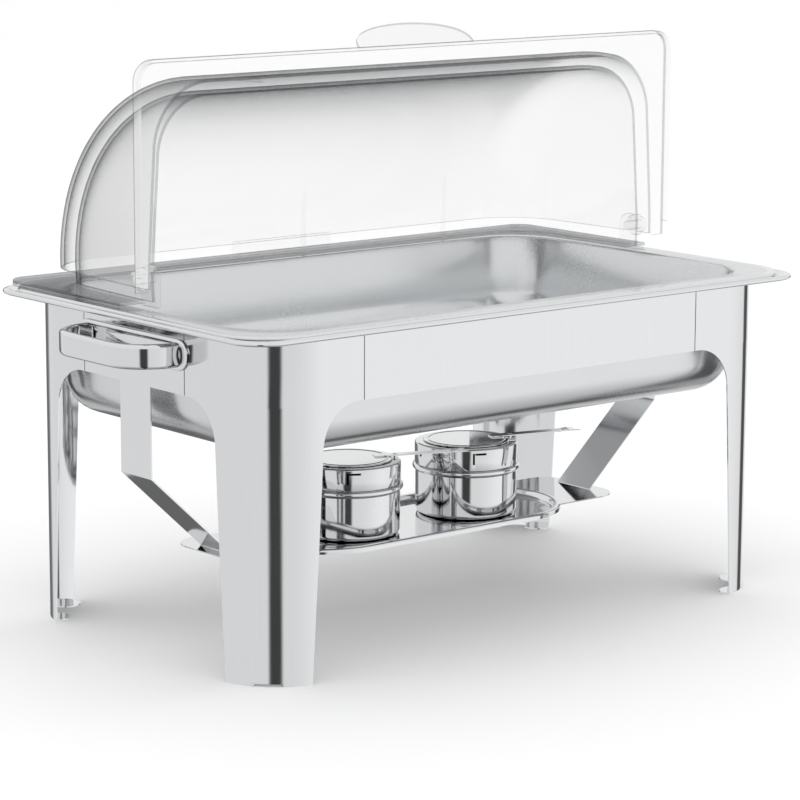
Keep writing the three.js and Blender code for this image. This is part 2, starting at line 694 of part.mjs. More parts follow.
// ---------- burners ----------
function lathed(points, segments = 28) {
  return solid(new THREE.LatheGeometry(points.map(([r, z]) => new THREE.Vector2(r, z)), segments)
    .rotateX(Math.PI / 2));
}

function makeCup() {
  const r = CUP_RADIUS;
  const s = CUP_SHEET;
  const heel = 4;
  return toGeometry(lathed([
    [0, 0],
    ...arc(r - heel, heel, heel, -90, 0, 3),
    ...arc(r, cupTop, CUP_BEAD, -90, 90, 6),
    [r - s, cupTop + CUP_BEAD],
    [r - s, heel + s],
    [r - heel - s, s],
    [0, s],
  ]));
}

function makeCollar() {
  const r = collarRadius;
  const s = CUP_SHEET;
  const hole = r - COLLAR_RING;
  let collar = lathed([
    [r - s, collarBottom],
    [r, collarBottom],
    ...arc(r - s, collarTop - s, s, 0, 90, 2),
    [hole, collarTop],
    [hole, collarTop - s],
    [r - s, collarTop - s],
    [r - s, collarBottom],
  ]);
  for (const { angle, width, high, low } of COLLAR_CUTS) {
    const cut = box(r - 4, r + 4, -width / 2, width / 2, collarTop - low, collarTop - high);
    collar = collar.subtract(cut.rotate([0, 0, angle]));
  }
  const rivetHole = disc(RIVET_RADIUS + GAP, collarTop - 5, collarTop + 5, r - RIVET_FROM_EDGE, 0, 12);
  return collar.subtract(rivetHole);
}

// disc, neck and handle strip in one pressing, drawn along +X with the pivot at the collar's edge
function makeDamper() {
  const z0 = damperBottom;
  const z1 = z0 + DAMPER_SHEET;
  const pivot = collarRadius - RIVET_FROM_EDGE;
  const tip = pivot + STRIP_LENGTH;
  const h = STRIP_WIDTH / 2;
  const strip = [
    [0, -h],
    [tip - 12, -h],
    [tip, -h - 2],
    [tip - 5, 0],
    [tip - 2, h + 1],
    [tip - 14, h],
    [0, h],
  ];
  const rise = [[tip - 19, z1 - 0.2], [tip - 9, z1 + 3.2], [tip - 8.4, z1 + 2.4], [tip - 17.6, z0 + 0.2]];
  const tongue = elevation([[tip - 19, z0 + 0.2], ...rise].reverse(), 1 - h, h - 1);
  const blank = join(disc(collarRadius - COLLAR_RING + DAMPER_LAP, z0, z1), plan(strip, z0, z1), tongue);
  return blank.subtract(disc(RIVET_RADIUS + GAP, z0 - 1, z1 + 1, pivot, 0, 12))
    .subtract(disc(STRIP_HOLE, z0 - 1, z1 + 1, tip - 30, 0, 12));
}

function makeRivet() {
  const head = rivetTop - RIVET_HEAD.height;
  const tail = collarTop - CUP_SHEET - GAP;
  return join(
    disc(RIVET_RADIUS, tail - 0.4, head + 0.4, 0, 0, 12),
    disc(RIVET_HEAD.radius, head, rivetTop, 0, 0, 16),
    disc(RIVET_TAIL.radius, tail - RIVET_TAIL.height, tail, 0, 0, 16),
  );
}

for (const { name, side, turn } of BURNERS) {
  const burner = new THREE.Group();
  const x = BURNER_MIDDLE + side * (CUP_RADIUS + BURNER_SPACE / 2);
  burner.position.set(x, 0, recessFloor + GAP);
  burner.rotation.z = rad(turn);
  chafer.add(burner);
  add(`fuel_cup_${name}`, makeCup(), 'polished', burner);
  add(`burner_collar_${name}`, toGeometry(makeCollar()), 'polished', burner);
  add(`damper_${name}`, toGeometry(makeDamper()), 'polished', burner);
  const rivet = makeRivet().translate([collarRadius - RIVET_FROM_EDGE, 0, 0]);
  add(`damper_rivet_${name}`, toGeometry(rivet), 'polished', burner);
}

export default chafer;
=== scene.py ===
"""A roll top chafer: satin steel stand, drawn pans, two gel burners and a clear two-part dome."""

import json
import math

import bmesh
import bpy
from mathutils import Matrix, Vector


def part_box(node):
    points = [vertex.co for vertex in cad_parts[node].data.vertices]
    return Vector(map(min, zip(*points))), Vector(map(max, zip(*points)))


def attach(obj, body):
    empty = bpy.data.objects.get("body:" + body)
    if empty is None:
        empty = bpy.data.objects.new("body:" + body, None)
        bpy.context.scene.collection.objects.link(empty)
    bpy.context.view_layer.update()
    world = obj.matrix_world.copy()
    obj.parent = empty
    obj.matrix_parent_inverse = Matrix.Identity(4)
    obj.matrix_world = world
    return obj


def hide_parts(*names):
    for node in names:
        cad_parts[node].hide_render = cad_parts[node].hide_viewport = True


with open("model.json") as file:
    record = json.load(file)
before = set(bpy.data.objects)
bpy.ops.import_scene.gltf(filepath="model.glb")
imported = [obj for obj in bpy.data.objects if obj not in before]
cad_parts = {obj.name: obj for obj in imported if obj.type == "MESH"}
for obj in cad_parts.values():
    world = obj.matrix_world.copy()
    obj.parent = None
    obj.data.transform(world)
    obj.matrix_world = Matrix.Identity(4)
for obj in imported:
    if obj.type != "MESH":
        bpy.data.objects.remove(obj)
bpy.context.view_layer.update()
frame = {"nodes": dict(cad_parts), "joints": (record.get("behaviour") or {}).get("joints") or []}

MM = 0.001

# ---------- camera ----------
CAMERA_PLACE = (-1.5274, -1.8487, 0.6122)
CAMERA_YAW = 39.493      # degrees, from straight ahead towards the right
CAMERA_PITCH = -10.739
CAMERA_ROLL = 0.241
CAMERA_LENS = 141.89     # mm, on a 36 mm sensor


def make_camera():
    lens = bpy.data.cameras.new("camera")
    lens.lens = CAMERA_LENS
    lens.sensor_width = 36
    camera = bpy.data.objects.new("camera", lens)
    turn = Matrix.Rotation(-math.radians(CAMERA_YAW), 4, "Z")
    tilt = Matrix.Rotation(math.radians(90 + CAMERA_PITCH), 4, "X")
    roll = Matrix.Rotation(math.radians(CAMERA_ROLL), 4, "Z")
    camera.matrix_world = Matrix.Translation(CAMERA_PLACE) @ turn @ tilt @ roll
    bpy.context.scene.collection.objects.link(camera)
    bpy.context.scene.camera = camera


make_camera()

# ---------- sizes, in millimetres ----------
GAP = 0.3
SHEET = 1.0
LEG_CORNER = 55
LEG_WING = 90
LEG_THROAT = 54
LEG_FOOT = 45
ARCH_RADIUS = 32.5
FOOT_STEP = 2
FOOT_NOTCH = 12          # degrees either side of the corner's middle
FOOT_TAB = 12
TAB_INSET = 0.3          # foot tab in from the leg's outside

WATER_RIM = {"corner": 24, "well": 51, "flange": 20, "taper": 8, "fillet": 30, "bead": 2.0, "sheet": 1.0}
FOOD_RIM = {"corner": 41, "well": 49, "flange": 21, "taper": 7, "fillet": 22, "bead": 1.8, "sheet": 0.8}

DOME_SHEET = 2.6
DOME_SKIRT = 2.4
DOME_CORNER = 16
SHELL_LEAN = 6
SHELL_CORNER = 46
LAP = 6
LUG_RADIUS = 10
LUG_THICKNESS = 6.5
PIN_RADIUS = 3.6


def corners(name):
    """Lowest and highest corner of a CAD node, in millimetres."""
    low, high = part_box(name)
    return low / MM, high / MM


# ---------- mesh tools ----------
def arc(cx, cy, radius, start, end, steps):
    points = []
    for i in range(steps + 1):
        a = math.radians(start + (end - start) * i / steps)
        points.append((cx + radius * math.cos(a), cy + radius * math.sin(a)))
    return points


def add_loft(mesh, rings, cap=True, wrap=False):
    """Joins closed loops of points, in millimetres, into a skin; caps its two ends, or wraps round."""
    loops = [[mesh.verts.new(Vector(p) * MM) for p in ring] for ring in rings]
    pairs = list(zip(loops, loops[1:]))
    if wrap:
        pairs.append((loops[-1], loops[0]))
    made = []
    for a, b in pairs:
        for i in range(len(a)):
            j = (i + 1) % len(a)
            made.append(mesh.faces.new((a[i], a[j], b[j], b[i])))
    if cap and not wrap:
        made.append(mesh.faces.new(loops[0]))
        made.append(mesh.faces.new(loops[-1]))
    return made


def add_strip(mesh, rings):
    """Like add_loft, for loops that run along a thin sheet and back: the ends close with quads."""
    loops = [[mesh.verts.new(Vector(p) * MM) for p in ring] for ring in rings]
    for a, b in zip(loops, loops[1:]):
        for i in range(len(a)):
            j = (i + 1) % len(a)
            mesh.faces.new((a[i], a[j], b[j], b[i]))
    for loop in (loops[0], loops[-1]):
        low, high = 0, len(loop) - 1
        while high - low > 2:
            mesh.faces.new((loop[low], loop[low + 1], loop[high - 1], loop[high]))
            low += 1
            high -= 1
        if high - low == 2:
            mesh.faces.new((loop[low], loop[low + 1], loop[high]))


def add_prism(mesh, outline, z0, z1):
    """A flat plate: an outline in x and y between two heights."""
    return add_loft(mesh, [[(x, y, z0) for x, y in outline], [(x, y, z1) for x, y in outline]])


def add_lathe(mesh, profile, segments=96, place=(0, 0, 0)):
    """Turns a closed profile of (radius, height) round an upright axis."""
    px, py, pz = place
    columns = []
    for k in range(segments):
        a = 2 * math.pi * k / segments
        columns.append([
            (px + r * math.cos(a), py + r * math.sin(a), pz + z) for r, z in profile
        ])
    return add_loft(mesh, columns, wrap=True)


def finish_piece(name, mesh, materials, body, nodes=(), sharp=30, matrix=None, bevel=0):
    """Cleans the mesh, makes it an object, shades it and hangs it on its body."""
    bmesh.ops.remove_doubles(mesh, verts=mesh.verts, dist=0.002 * MM)
    bmesh.ops.dissolve_degenerate(mesh, edges=mesh.edges, dist=0.0005 * MM)
    if matrix is not None:
        bmesh.ops.transform(mesh, matrix=matrix, verts=mesh.verts)
    bmesh.ops.recalc_face_normals(mesh, faces=mesh.faces)
    data = bpy.data.meshes.new(name)
    mesh.to_mesh(data)
    mesh.free()
    data.shade_smooth()
    data.set_sharp_from_angle(angle=math.radians(sharp))
    piece = bpy.data.objects.new(name, data)
    bpy.context.scene.collection.objects.link(piece)
    for material in materials:
        data.materials.append(material)
    if bevel:
        add_bevel(piece, bevel)
    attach(piece, body)
    if nodes:
        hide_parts(*nodes)
    return piece


def add_bevel(piece, width, segments=2):
    bevel = piece.modifiers.new("eased edges", "BEVEL")
    bevel.width = width * MM
    bevel.segments = segments
    bevel.limit_method = "ANGLE"
    bevel.angle_limit = math.radians(40)
    bevel.harden_normals = True


def mirror(sx, sy):
    return Matrix.Diagonal((sx, sy, 1, 1))


def rounded_rectangle(hx, hy, radius, steps=16):
    loop = []
    for sx, sy, start in ((1, 1, 0), (-1, 1, 90), (-1, -1, 180), (1, -1, 270)):
        loop += arc(sx * (hx - radius), sy * (hy - radius), radius, start, start + 90, steps)
    return loop


# ---------- materials ----------
def linear(hex_colour):
    """sRGB hex to the linear colour that shaders take."""
    values = [int(hex_colour[i:i + 2], 16) / 255 for i in (1, 3, 5)]
    return tuple(v / 12.92 if v <= 0.04045 else ((v + 0.055) / 1.055) ** 2.4 for v in values) + (1,)


def new_material(name):
    material = bpy.data.materials.new(name)
    material.use_nodes = True
    material.node_tree.nodes.clear()
    return material, material.node_tree


def add_node(tree, kind, settings=None, links=None, **values):
    """Adds a node; settings are its own fields, values its sockets by name, links its sockets by source."""
    node = tree.nodes.new(kind)
    for key, value in (settings or {}).items():
        setattr(node, key, value)
    for key, value in values.items():
        node.inputs[key.replace("_", " ")].default_value = value
    for key, source in (links or {}).items():
        tree.links.new(source, node.inputs[key])
    return node


def steel(name, light, dark, rough, grain, grain_size, depth, anisotropy=0.0):
    """Stainless steel. grain is how far a scratch runs along x, y and z, grain_size its width in mm."""
    material, tree = new_material(name)
    place = add_node(tree, "ShaderNodeTexCoord")
    stretch = add_node(tree, "ShaderNodeMapping", links={"Vector": place.outputs["Object"]},
                       Scale=[1 / g for g in grain])
    scratches = add_node(tree, "ShaderNodeTexNoise", links={"Vector": stretch.outputs["Vector"]},
                         Scale=1 / (grain_size * MM), Detail=3.0, Roughness=0.6)
    cloud = add_node(tree, "ShaderNodeTexNoise", links={"Vector": place.outputs["Object"]},
                     Scale=14.0, Detail=2.0, Roughness=0.5)
    tint = add_node(tree, "ShaderNodeMix", {"data_type": "RGBA"},
                    {0: scratches.outputs["Fac"]})
    tint.inputs[6].default_value = linear(dark)
    tint.inputs[7].default_value = linear(light)
    low, high = rough
    mixed = add_node(tree, "ShaderNodeMath", {"operation": "MULTIPLY"},
                     {0: scratches.outputs["Fac"], 1: cloud.outputs["Fac"]})
    gloss = add_node(tree, "ShaderNodeMapRange", links={"Value": mixed.outputs["Value"]},
                     From_Min=0.12, From_Max=0.4, To_Min=low, To_Max=high)
    bump = add_node(tree, "ShaderNodeBump", links={"Height": scratches.outputs["Fac"]},
                    Strength=depth, Distance=0.05 * MM)
    shader = add_node(tree, "ShaderNodeBsdfPrincipled", links={
        "Base Color": tint.outputs[2],
        "Roughness": gloss.outputs["Result"],
        "Normal": bump.outputs["Normal"],
    }, Metallic=1.0, Anisotropic=anisotropy)
    add_node(tree, "ShaderNodeOutputMaterial", links={"Surface": shader.outputs["BSDF"]})
    return material


def clear_polycarbonate(name, face_on, edge_on, roughness):
    """Thin polycarbonate without refraction: clear face on, greyer at a slant; the grey is partly the longer
    sight line in the wall and partly painted shade standing in for the dark edges that refraction gives.
    """
    material, tree = new_material(name)
    slant = add_node(tree, "ShaderNodeLayerWeight", Blend=0.5)
    slant_path_and_painted_shade = add_node(tree, "ShaderNodeMath", {"operation": "POWER"}, {0: slant.outputs["Facing"]})
    slant_path_and_painted_shade.inputs[1].default_value = 4.0
    place = add_node(tree, "ShaderNodeTexCoord")
    flow = add_node(tree, "ShaderNodeTexNoise", links={"Vector": place.outputs["Object"]},
                    Scale=9.0, Detail=2.0, Roughness=0.5)
    swirl = add_node(tree, "ShaderNodeBump", links={"Height": flow.outputs["Fac"]},
                     Strength=0.1, Distance=0.4 * MM)
    # Painted shade in part: the see-through tint turns grey at a slant, for the dark edges that refraction
    # gives.
    tint = add_node(tree, "ShaderNodeMix", {"data_type": "RGBA"}, {0: slant_path_and_painted_shade.outputs["Value"]})
    tint.inputs[6].default_value = linear(face_on)
    tint.inputs[7].default_value = linear(edge_on)
    through = add_node(tree, "ShaderNodeBsdfTransparent", links={"Color": tint.outputs[2]})
    gloss = add_node(tree, "ShaderNodeBsdfGlossy", links={"Normal": swirl.outputs["Normal"]},
                     Roughness=roughness)
    grazing = add_node(tree, "ShaderNodeMath", {"operation": "POWER"}, {0: slant.outputs["Facing"]})
    grazing.inputs[1].default_value = 5.0
    mirror_share = add_node(tree, "ShaderNodeMapRange", links={"Value": grazing.outputs["Value"]},
                            To_Min=0.02, To_Max=0.3)
    light = add_node(tree, "ShaderNodeLightPath")
    seen = add_node(tree, "ShaderNodeMath", {"operation": "MULTIPLY"},
                    {0: light.outputs["Is Camera Ray"], 1: mirror_share.outputs["Result"]})
    mix = add_node(tree, "ShaderNodeMixShader", links={
        0: seen.outputs["Value"],
        1: through.outputs["BSDF"],
        2: gloss.outputs["BSDF"],
    })
    # Not a property of the plastic: the renderer gives black past eight see-through surfaces, so after six
    # the rest of the sight line is taken as plain white, a painted white glow that stands in for the light
    # from behind.
    deep = add_node(tree, "ShaderNodeMath", {"operation": "GREATER_THAN"},
                    {0: light.outputs["Transparent Depth"]})
    deep.inputs[1].default_value = 6.5
    painted_white_glow = add_node(tree, "ShaderNodeEmission", Color=linear("#ffffff"), Strength=0.92)
    whole = add_node(tree, "ShaderNodeMixShader", links={
        0: deep.outputs["Value"],
        1: mix.outputs["Shader"],
        2: painted_white_glow.outputs["Emission"],
    })
    add_node(tree, "ShaderNodeOutputMaterial", links={"Surface": whole.outputs["Shader"]})
    return material


# 430 stainless sheet with a bright finish: near a mirror, with the faint upright grain of the rolling mill.
# The real grain is about 0.1 mm apart; it is drawn 1.2 mm wide so that it shows.
BRUSHED = steel("brushed_stainless", "#e1e2e3", "#dcdddf", (0.07, 0.11), (1, 1, 40), 1.2, 0.03)
# The same sheet drawn into pans and left satin: softer, with no direction.
DRAWN = steel("drawn_stainless", "#dcdedf", "#d4d6d7", (0.20, 0.28), (1, 1, 1), 1.2, 0.04)
# Stainless polished with a buffing wheel: a mirror with the faint haze that buffing leaves.
POLISHED = steel("polished_stainless", "#e2e3e4", "#dbdcdd", (0.05, 0.09), (6, 6, 1), 1.0, 0.02)
# Bright rolled edges of the pans, smoothed by the bending tool.
BRIGHT = steel("bright_rolled_edge", "#e4e5e6", "#dcddde", (0.08, 0.13), (1, 1, 1), 1.0, 0.02)
# Injection-moulded polycarbonate: near clear face on, greyer at a slant, partly from the longer sight line in
# the wall and partly as painted shade for the dark edges that refraction gives.
CLEAR = clear_polycarbonate("clear_polycarbonate", "#fefefe", "#8e9092", 0.03)
# A moulded edge seen end on is greyer: partly the tint of the whole sheet along the sight line, partly
# painted shade for the light that the sheet pipes away.
CLEAR_EDGE = clear_polycarbonate("polycarbonate_edge", "#d6d8d9", "#a0a3a5", 0.06)


# ---------- stand ----------
leg_high = corners("leg_rear_right")[1]
FACE_X = leg_high.x
FACE_Y = leg_high.y
STAND_TOP = leg_high.z
APRON_BOTTOM = corners("apron_front")[0].z
BEND = (FACE_X - LEG_CORNER, FACE_Y - LEG_CORNER)


def leg_reach(z):
    """How far a leg's face runs from the sharp corner at a height."""
    throat = APRON_BOTTOM - ARCH_RADIUS
    if z >= APRON_BOTTOM:
        return LEG_WING
    if z <= throat:
        return LEG_FOOT + (LEG_THROAT - LEG_FOOT) * z / throat
    return LEG_THROAT + ARCH_RADIUS - math.sqrt(ARCH_RADIUS ** 2 - (z - throat) ** 2)


def leg_half_girth(z):
    reach = leg_reach(z)
    if reach < LEG_CORNER:
        return LEG_CORNER * (math.acos(1 - reach / LEG_CORNER) - math.pi / 4)
    return LEG_CORNER * math.pi / 4 + reach - LEG_CORNER


def on_leg(s, inset):
    """Point of the bent sheet at girth s from the corner's middle, inset from the outside."""
    quarter = LEG_CORNER * math.pi / 4
    run = max(abs(s) - quarter, 0)
    angle = math.pi / 4 + max(-quarter, min(quarter, s)) / LEG_CORNER
    radius = LEG_CORNER - inset
    x = BEND[0] + radius * math.cos(angle)
    y = BEND[1] + radius * math.sin(angle)
    if s > 0:
        return x - run, y
    return x, y - run


def on_bend(angle):
    """Point just inside the bent corner's outside, for the foot tabs."""
    radius = LEG_CORNER - TAB_INSET
    return Vector((BEND[0] + radius * math.cos(angle), BEND[1] + radius * math.sin(angle)))


def make_leg(name, sx, sy):
    mesh = bmesh.new()
    throat = APRON_BOTTOM - ARCH_RADIUS
    heights = [0, FOOT_STEP + 0.2] + [FOOT_STEP + (throat - FOOT_STEP) * i / 12 for i in range(1, 13)]
    heights += [throat + ARCH_RADIUS * math.sin(math.radians(a)) for a in range(6, 90, 6)]
    heights += [APRON_BOTTOM - 0.05, APRON_BOTTOM, (APRON_BOTTOM + STAND_TOP) / 2, STAND_TOP]
    columns = 56
    rings = []
    for k, z in enumerate(heights):
        girth = leg_half_girth(z)
        spots = [girth * (2 * i / columns - 1) for i in range(columns + 1)]
        rise = [FOOT_STEP if k == 0 and abs(s) < LEG_CORNER * math.radians(FOOT_NOTCH) else 0 for s in spots]
        outer = [(*on_leg(s, 0), z + r) for s, r in zip(spots, rise)]
        inner = [(*on_leg(s, SHEET), z + r) for s, r in zip(spots, rise)]
        rings.append(outer + inner[::-1])
    add_strip(mesh, rings)
    edge = math.acos(1 - LEG_FOOT / LEG_CORNER)
    for start, end in ((math.pi / 2 - edge, math.radians(33)), (math.radians(57), edge)):
        a = on_bend(start)
        b = on_bend(end)
        half = (b - a) / 2
        inward = Vector((-half.y, half.x)).normalized()
        outline = []
        for i in range(5):
            angle = end + (start - end) * i / 4
            outline.append(tuple(on_bend(angle)))
        for i in range(17):
            turn = math.pi * i / 16
            depth = FOOT_TAB * (0.35 + 0.65 * math.sin(turn))
            p = (a + b) / 2 - half * math.cos(turn) + inward * depth
            outline.append((p.x, p.y))
        add_prism(mesh, outline, 0, SHEET)
    return finish_piece(name, mesh, [BRUSHED], "stand", [name],
                        matrix=mirror(sx, sy), bevel=0.25)


SIDES = (("left", -1), ("right", 1))
ENDS = (("front", -1), ("rear", 1))
for side, sx in SIDES:
    for end, sy in ENDS:
        make_leg(f"leg_{end}_{side}", sx, sy)


def finish_node(name, material, bevel=0.25, sharp=30):
    """Keeps a CAD node's own shape, with eased edges and a real finish."""
    piece = frame["nodes"][name]
    piece.data.materials.clear()
    piece.data.materials.append(material)
    piece.data.shade_smooth()
    piece.data.set_sharp_from_angle(angle=math.radians(sharp))
    if bevel:
        add_bevel(piece, bevel)


for end in ("front", "rear", "left", "right"):
    finish_node(f"apron_{end}", BRUSHED)
for side, sx in SIDES:
    finish_node(f"tray_bracket_{side}", BRUSHED)
    for end, sy in ENDS:
        finish_node(f"handle_clip_{end}_{side}", POLISHED, bevel=0.15)


# ---------- carrying handles ----------
HANDLE_BAND = 18
HANDLE_SHEET = 1.6
HANDLE_LIP = 5
HANDLE_CORNER = 34


def make_grip(side, sx):
    low, high = corners(f"handle_grip_{side}")
    out = max(abs(low.x), abs(high.x)) - FACE_X - GAP
    span = high.y
    middle = (low.z + high.z) / 2
    root = 1.8
    h = HANDLE_BAND / 2
    t = HANDLE_SHEET
    r = 3.0
    section = [(-HANDLE_LIP, h - 0.5), (-HANDLE_LIP + 0.5, h)]
    turns = [math.pi / 2 * i / 6 for i in range(7)]
    section += [(-r + r * math.sin(a), h - r + r * math.cos(a)) for a in turns]
    section += [(-r + r * math.cos(a), -h + r - r * math.sin(a)) for a in turns]
    section += [(-HANDLE_LIP + 0.5, -h), (-HANDLE_LIP, -h + 0.5), (-HANDLE_LIP, -h + t), (-t - 1.4, -h + t)]
    section += [(-t, -h + t + 1.4), (-t, h - t - 1.4), (-t - 1.4, h - t), (-HANDLE_LIP, h - t)]
    c = HANDLE_CORNER
    stations = [((root, -span), (0, -1))]
    for i in range(25):
        a = math.radians(-90 + 90 * i / 24)
        way = (math.cos(a), math.sin(a))
        stations.append(((out - c + c * way[0], -span + c + c * way[1]), way))
    for i in range(25):
        a = math.radians(90 * i / 24)
        way = (math.cos(a), math.sin(a))
        stations.append(((out - c + c * way[0], span - c + c * way[1]), way))
    stations.append(((root, span), (0, 1)))
    rings = []
    for (x, y), (nx, ny) in stations:
        rings.append([(FACE_X + GAP + x + nx * n, y + ny * n, middle + z) for n, z in section])
    mesh = bmesh.new()
    add_loft(mesh, rings)
    name = f"handle_grip_{side}"
    finish_piece(name, mesh, [POLISHED], "stand", [name], matrix=mirror(sx, 1), sharp=40)


def make_handle_plate(side, sx):
    low, high = corners(f"handle_plate_{side}")
    hy = high.y
    hz = (high.z - low.z) / 2
    middle = (high.z + low.z) / 2
    deep = high.x - low.x
    section = [(0.0, 0.0), (0.0, deep - 0.5), (0.5, deep)]
    section += [(4.5, deep), (6.5, deep - 0.25), (7.5, deep - 0.75)]
    rings = []
    for inset, x in section:
        loop = rounded_rectangle(hy - inset * 1.6, hz - inset, hz - 0.2 - inset)
        rings.append([(FACE_X + GAP + x, y, middle + z) for y, z in loop])
    mesh = bmesh.new()
    add_loft(mesh, rings)
    name = f"handle_plate_{side}"
    finish_piece(name, mesh, [POLISHED], "stand", [name], matrix=mirror(sx, 1), sharp=50)


for side, sx in SIDES:
    make_grip(side, sx)
    make_handle_plate(side, sx)


# ---------- fuel shelf ----------
TRAY_SHEET = 1.0
TRAY_RIM = 6
TRAY_HEM = 4
RECESS_DEPTH = 4.5
TRAY_END_CORNER = 22
TRAY_END_HALF = 44


def stadium(half_length, half_width, steps=40):
    centre = half_length - half_width
    return arc(centre, 0, half_width, -90, 90, steps) + arc(-centre, 0, half_width, 90, 270, steps)


def make_tray():
    high = corners("fuel_tray")[1]
    top = high.z
    rim_y = high.y
    recess_y = rim_y - TRAY_RIM
    slot_x = high.x - 11
    recess_x = slot_x - 43
    floor = top - RECESS_DEPTH
    t = TRAY_SHEET
    r = 2.2
    over = [(-12, floor), (-r, floor)] + [(-r + r * math.sin(a), floor + r - r * math.cos(a)) for a in
                                          (0.4, 0.8, 1.2)]
    over += [(0.3, top - 1.2), (0.9, top - 0.3), (1.8, top)]
    edge = TRAY_RIM
    over += [(edge - 2, top), (edge - 1.2, top - 0.2), (edge - 0.4, top - 0.8), (edge, top - 1.8)]
    under = [(edge, top - TRAY_HEM), (edge - t, top - TRAY_HEM), (edge - t, top - t - 1)]
    under += [(edge - t - 1, top - t), (2.4, top - t), (t + 0.3, top - t - 1)]
    under += [(t - 0.2, floor), (-r, floor - t)]
    section = over + under + [(-12, floor - t)]
    rings = []
    for offset, z in section:
        rings.append([(x, y, z) for x, y in stadium(recess_x + offset, recess_y + offset)])
    mesh = bmesh.new()
    add_loft(mesh, rings)
    finish_piece("shelf_dish", mesh, [POLISHED], "stand", ["fuel_tray"], sharp=35)
    for side, sx in SIDES:
        half = TRAY_END_HALF
        ends = bmesh.new()
        c = TRAY_END_CORNER
        waist = []
        for i in range(25):
            y = half - 2 * half * i / 24
            reach = math.sqrt(max((recess_y + 3.0) ** 2 - y * y, 0)) + recess_x - recess_y
            waist.append((reach, y))
        outline = arc(high.x - c, -half + c, c, -90, 0, 16) + arc(high.x - c, half - c, c, 0, 90, 16) + waist
        add_prism(ends, outline, top - t - 0.1, top - 0.1)
        finish_piece(f"shelf_end_{side}", ends, [POLISHED], "stand", ["fuel_tray"],
                     matrix=mirror(sx, 1), bevel=0.2)


make_tray()


# ---------- pans ----------
def pan_corner(rim, u):
    """Corner radius at an inset from the rim's edge."""
    if u >= rim["flange"]:
        return rim["well"] - (u - rim["flange"])
    return rim["corner"] + (rim["well"] - rim["corner"]) * u / rim["flange"]


def make_pan(name, body, rim):
    low, high = corners(name)
    half_x = high.x
    half_y = high.y
    sheet = rim["sheet"]
    bead = rim["bead"]
    wall = rim["flange"]
    lean = wall + rim["taper"]
    fillet = rim["fillet"]
    underside = low.z
    bead_z = high.z - bead
    flange = bead_z + (1.6 if name == "food_pan" else 0)
    floor = underside
    steps = 10
    under = [(lean + fillet + 60, floor)]
    under += [(lean + fillet - fillet * math.sin(a), floor + fillet - fillet * math.cos(a))
              for a in [math.pi / 2 * i / steps for i in range(steps + 1)]]
    under += [(wall, flange - 3 - sheet), (wall - 0.8, flange - sheet - 0.9), (wall - 2.4, flange - sheet)]
    under += [(2 * bead + 0.6, flange - sheet)]
    edge = arc(bead, bead_z, bead, 285, 60, 12)
    over = [(2 * bead + 0.9, flange), (wall - 2.6 + sheet, flange), (wall - 0.9 + sheet, flange - 0.7)]
    over += [(wall + sheet, flange - 2.6)]
    inner = fillet - sheet
    over += [(lean + fillet - inner * math.cos(a), floor + fillet - inner * math.sin(a))
             for a in [math.pi / 2 * i / steps for i in range(steps + 1)]]
    over += [(lean + fillet + 60, floor + sheet)]
    rings = []
    for u, z in under + edge + over:
        loop = rounded_rectangle(half_x - u, half_y - u, max(pan_corner(rim, u), 6), 18)
        rings.append([(x, y, z) for x, y in loop])
    mesh = bmesh.new()
    faces = add_loft(mesh, rings)
    count = len(rings[0])
    for k in range(len(under) - 1, len(under) + len(edge)):
        for face in faces[k * count:(k + 1) * count]:
            face.material_index = 1
    finish_piece(name, mesh, [DRAWN, BRIGHT], body, [name], sharp=60)


make_pan("water_pan", "water_bath", WATER_RIM)
make_pan("food_pan", "food_pan", FOOD_RIM)


def make_stud(name):
    low, high = corners(name)
    r = (high.x - low.x) / 2
    centre = (low + high) / 2
    profile = [(0.01, 0), (r - 1, 0), (r - 0.3, 0.3), (r, 1), (r, high.z - low.z), (0.01, high.z - low.z)]
    mesh = bmesh.new()
    add_lathe(mesh, profile, 40, (centre.x, centre.y, low.z))
    finish_piece(name, mesh, [POLISHED], "water_bath", [name])


for side, sx in SIDES:
    for end, sy in ENDS:
        make_stud(f"pan_stud_{end}_{side}")


# ---------- dome ----------
base_high = corners("dome_base")[1]
PIVOT = [j for j in frame["joints"] if j["name"] == "roll_top"][0]["pos_m"][2] / MM
DOME_HALF_X = base_high.x
DOME_HALF_Y = base_high.y
LEDGE_WIDTH = 26.5       # flange edge to the fixed shell, front to back
LEDGE_END = 18.9         # flange edge to the fixed shell's end wall
COVER_CLEARANCE = 8.2
COVER_SIDE_GAP = 8
SHELL_RADIUS = DOME_HALF_Y - LEDGE_WIDTH
SHELL_SIDE = DOME_HALF_X - LEDGE_END
COVER_RADIUS = SHELL_RADIUS + COVER_CLEARANCE + DOME_SHEET
COVER_SIDE = SHELL_SIDE + COVER_SIDE_GAP
BASE_TOP = -16.5         # heights of the flanges and the underside, from the pivot axis
COVER_TOP = -13.0
BOTTOM = -20.8


def standing(x, s, h):
    """The fixed half: s runs to the rear and h up, both from the pivot axis."""
    return (x, s, PIVOT + h)


def rolled_back(x, s, h):
    """The cover, drawn closed and turned back a quarter turn: what pointed forward now points up."""
    return (x, h, PIVOT + s)


def dome_side(radius, side, corner, r):
    """How far out the end wall is at a distance r from the pivot axis."""
    knee = radius - corner
    if r <= knee:
        return side - SHELL_LEAN * r / knee
    drop = math.sqrt(max(corner ** 2 - (min(r, radius) - knee) ** 2, 0))
    return side - SHELL_LEAN - corner + drop


